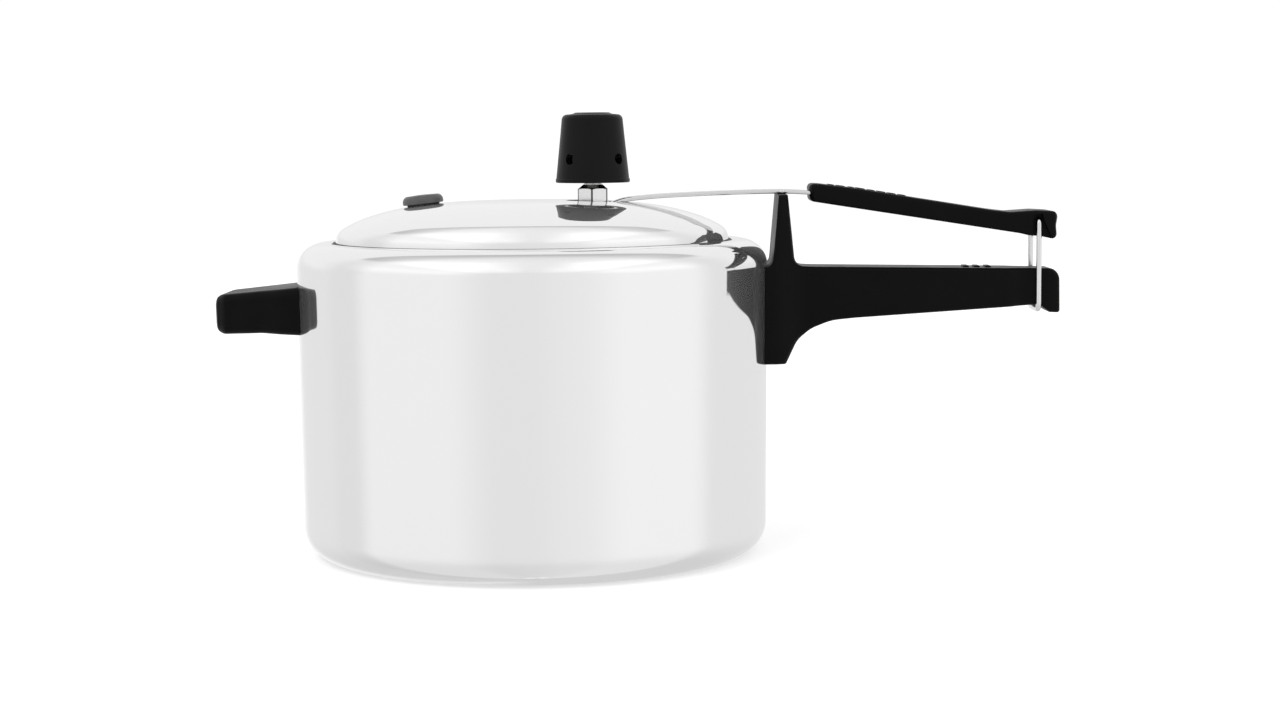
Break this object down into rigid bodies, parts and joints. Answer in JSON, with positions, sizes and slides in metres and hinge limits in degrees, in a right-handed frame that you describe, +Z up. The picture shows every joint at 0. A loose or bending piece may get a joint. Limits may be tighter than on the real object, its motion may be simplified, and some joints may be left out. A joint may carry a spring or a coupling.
{
  "type": "stovetop pressure cooker",
  "caption": "Polished aluminium stovetop pressure cooker with an inner-closing oval lid, sprung lid strap, bail latch, weighted regulator, long handle and helper handle.",
  "frame": {"origin": "centre of the pot's flat base, on the surface it stands on", "axes": "+Z up, +X towards the long handle, +Y to the left of a person holding the long handle"},
  "size_m": [0.3721, 0.2076, 0.1942],
  "materials": {
    "pot_aluminium": "mirror polished",
    "black_phenolic": "satin moulded phenolic",
    "bracket_steel": "plated",
    "rivet_aluminium": "satin",
    "screw_steel": "zinc plated",
    "lid_aluminium": "mirror polished",
    "gasket_rubber": "matt",
    "strap_steel": "spring steel, bright",
    "stem_metal": "turned, nickel plated",
    "nut_steel": "nickel plated",
    "valve_rubber": "smooth",
    "needle_steel": "turned",
    "core_steel": "turned",
    "weight_phenolic": "satin moulded phenolic",
    "bail_steel": "bright drawn wire"
  },
  "bodies": {
    "pot": {"pot_body": "pot_aluminium", "long_handle": "black_phenolic", "long_handle_bracket": "bracket_steel", "long_handle_rivets": "rivet_aluminium", "long_handle_screw": "screw_steel", "helper_handle": "black_phenolic", "helper_handle_bracket": "bracket_steel", "helper_handle_rivets": "rivet_aluminium", "helper_handle_screw": "screw_steel"},
    "lid": {"lid_shell": "lid_aluminium", "lid_gasket": "gasket_rubber", "lid_strap": "strap_steel", "valve_stem": "stem_metal", "stem_seal": "gasket_rubber", "stem_washer": "screw_steel", "stem_nut": "nut_steel", "stem_collar": "stem_metal", "safety_valve_plug": "valve_rubber"},
    "lid_handle": {"lid_handle_grip": "black_phenolic", "grip_screws": "screw_steel"},
    "bail": {"bail_wire": "bail_steel"},
    "regulator_pin": {"regulator_needle": "needle_steel"},
    "regulator_weight": {"regulator_core": "core_steel", "regulator_cover": "weight_phenolic", "regulator_retaining_ring": "bracket_steel"}
  },
  "joints": [
    {"name": "lid_drop", "type": "slide", "parent": "pot", "child": "lid", "axis": [0, 0, 1], "range_m": [-0.008, 0], "stiffness_N_per_m": 600, "springref_m": 0.012, "deforming": ["lid_strap"]},
    {"name": "handle_squeeze", "type": "hinge", "parent": "pot", "child": "lid_handle", "pos_m": [0.1102, 0, 0.1578], "axis": [0, 1, 0], "range_deg": [0, 5], "stiffness_Nm_per_rad": 4, "springref_deg": -2.86, "deforming": ["lid_strap"]},
    {"name": "bail_swing", "type": "hinge", "parent": "lid_handle", "child": "bail", "pos_m": [0.2226, 0, 0.1456], "axis": [0, -1, 0], "range_deg": [0, 27]},
    {"name": "weight_lift", "type": "slide", "parent": "lid", "child": "regulator_pin", "axis": [0, 0, 1], "range_m": [0, 0.03]},
    {"name": "weight_spin", "type": "hinge", "parent": "regulator_pin", "child": "regulator_weight", "pos_m": [0.027, 0, 0.175], "axis": [0, 0, 1], "continuous": true}
  ],
  "couplings": [
    {"joint": "bail_swing", "follows": "handle_squeeze", "ratio": 5.4}
  ]
}
